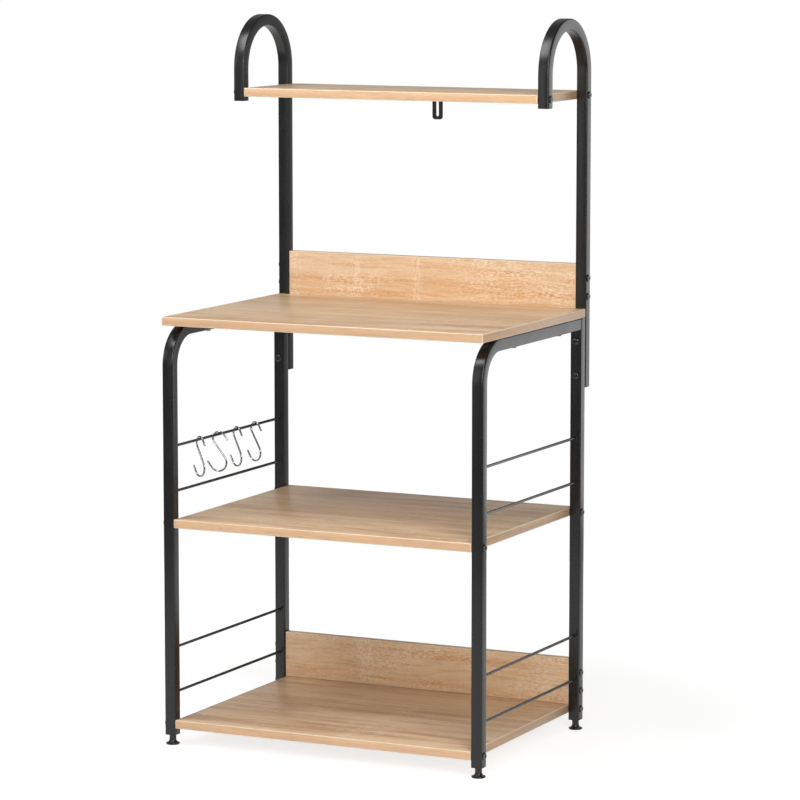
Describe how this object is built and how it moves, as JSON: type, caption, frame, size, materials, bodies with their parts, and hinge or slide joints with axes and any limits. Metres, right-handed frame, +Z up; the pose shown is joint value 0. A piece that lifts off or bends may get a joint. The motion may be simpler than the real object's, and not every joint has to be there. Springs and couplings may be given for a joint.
{
  "type": "kitchen shelving unit",
  "caption": "Free-standing kitchen rack: bent square-tube frames carry a worktop and board shelves, hoops hold a raised rear shelf, with side rods, S-hooks and levelling feet.",
  "frame": {"origin": "on the floor, under the middle of the unit's depth and of its tube-to-tube width", "axes": "+Z up, -Y towards the person who uses it, +X to that person's right"},
  "size_m": [0.6162, 0.4523, 1.245],
  "materials": {
    "powder_coat": "satin black powder coat on steel",
    "oak_board": "pale oak print on melamine-faced particle board, matt",
    "chromed_wire": "bright chrome plate",
    "black_plastic": "moulded black nylon",
    "bolt_steel": "black oxide on steel, slightly glossy"
  },
  "bodies": {
    "rack": {"front_tube_left": "powder_coat", "front_tube_right": "powder_coat", "rear_leg_left": "powder_coat", "rear_leg_right": "powder_coat", "hoop_left": "powder_coat", "hoop_right": "powder_coat", "rod_middle_lower_left": "powder_coat", "rod_middle_lower_right": "powder_coat", "rod_middle_upper_left": "powder_coat", "rod_middle_upper_right": "powder_coat", "rod_bottom_lower_left": "powder_coat", "rod_bottom_lower_right": "powder_coat", "rod_bottom_upper_left": "powder_coat", "rod_bottom_upper_right": "powder_coat", "tip_bracket": "powder_coat", "worktop": "oak_board", "middle_shelf": "oak_board", "bottom_shelf": "oak_board", "top_shelf": "oak_board", "upper_back_panel": "oak_board", "lower_back_panel": "oak_board", "leg_plug_front_left": "black_plastic", "leg_plug_front_right": "black_plastic", "leg_plug_rear_left": "black_plastic", "leg_plug_rear_right": "black_plastic", "hoop_cap_left": "black_plastic", "hoop_cap_right": "black_plastic", "bolt_top_shelf_front_left": "bolt_steel", "bolt_top_shelf_front_right": "bolt_steel", "bolt_top_shelf_rear_left": "bolt_steel", "bolt_top_shelf_rear_right": "bolt_steel", "bolt_upper_panel_high_left": "bolt_steel", "bolt_upper_panel_high_right": "bolt_steel", "bolt_upper_panel_low_left": "bolt_steel", "bolt_upper_panel_low_right": "bolt_steel", "bolt_middle_shelf_front_left": "bolt_steel", "bolt_middle_shelf_front_right": "bolt_steel", "bolt_middle_shelf_rear_left": "bolt_steel", "bolt_middle_shelf_rear_right": "bolt_steel", "bolt_lower_panel_high_left": "bolt_steel", "bolt_lower_panel_high_right": "bolt_steel", "bolt_lower_panel_low_left": "bolt_steel", "bolt_lower_panel_low_right": "bolt_steel", "bolt_bottom_shelf_front_left": "bolt_steel", "bolt_bottom_shelf_front_right": "bolt_steel", "bolt_bottom_shelf_rear_left": "bolt_steel", "bolt_bottom_shelf_rear_right": "bolt_steel", "bolt_post_high_left": "bolt_steel", "bolt_post_high_right": "bolt_steel", "bolt_post_low_left": "bolt_steel", "bolt_post_low_right": "bolt_steel", "bracket_screw": "bolt_steel"},
    "hook_1": {"s_hook_1": "chromed_wire"},
    "hook_2": {"s_hook_2": "chromed_wire"},
    "hook_3": {"s_hook_3": "chromed_wire"},
    "hook_4": {"s_hook_4": "chromed_wire"},
    "foot_front_left": {"foot_front_left": "black_plastic"},
    "foot_front_right": {"foot_front_right": "black_plastic"},
    "foot_rear_left": {"foot_rear_left": "black_plastic"},
    "foot_rear_right": {"foot_rear_right": "black_plastic"}
  },
  "joints": [
    {"name": "hook_1_swing", "type": "hinge", "parent": "rack", "child": "hook_1", "pos_m": [-0.29, -0.11062, 0.518], "axis": [0, 1, 0], "range_deg": [-60, 60]},
    {"name": "hook_2_swing", "type": "hinge", "parent": "rack", "child": "hook_2", "pos_m": [-0.29, -0.04208, 0.518], "axis": [0, 1, 0], "range_deg": [-60, 60]},
    {"name": "hook_3_swing", "type": "hinge", "parent": "rack", "child": "hook_3", "pos_m": [-0.29, 0.0249, 0.518], "axis": [0, 1, 0], "range_deg": [-60, 60]},
    {"name": "hook_4_swing", "type": "hinge", "parent": "rack", "child": "hook_4", "pos_m": [-0.29, 0.09382, 0.518], "axis": [0, 1, 0], "range_deg": [-60, 60]},
    {"name": "foot_front_left_height", "type": "slide", "parent": "rack", "child": "foot_front_left", "axis": [0, 0, -1], "range_m": [0, 0.008]},
    {"name": "foot_front_right_height", "type": "slide", "parent": "rack", "child": "foot_front_right", "axis": [0, 0, -1], "range_m": [0, 0.008]},
    {"name": "foot_rear_left_height", "type": "slide", "parent": "rack", "child": "foot_rear_left", "axis": [0, 0, -1], "range_m": [0, 0.008]},
    {"name": "foot_rear_right_height", "type": "slide", "parent": "rack", "child": "foot_rear_right", "axis": [0, 0, -1], "range_m": [0, 0.008]}
  ]
}
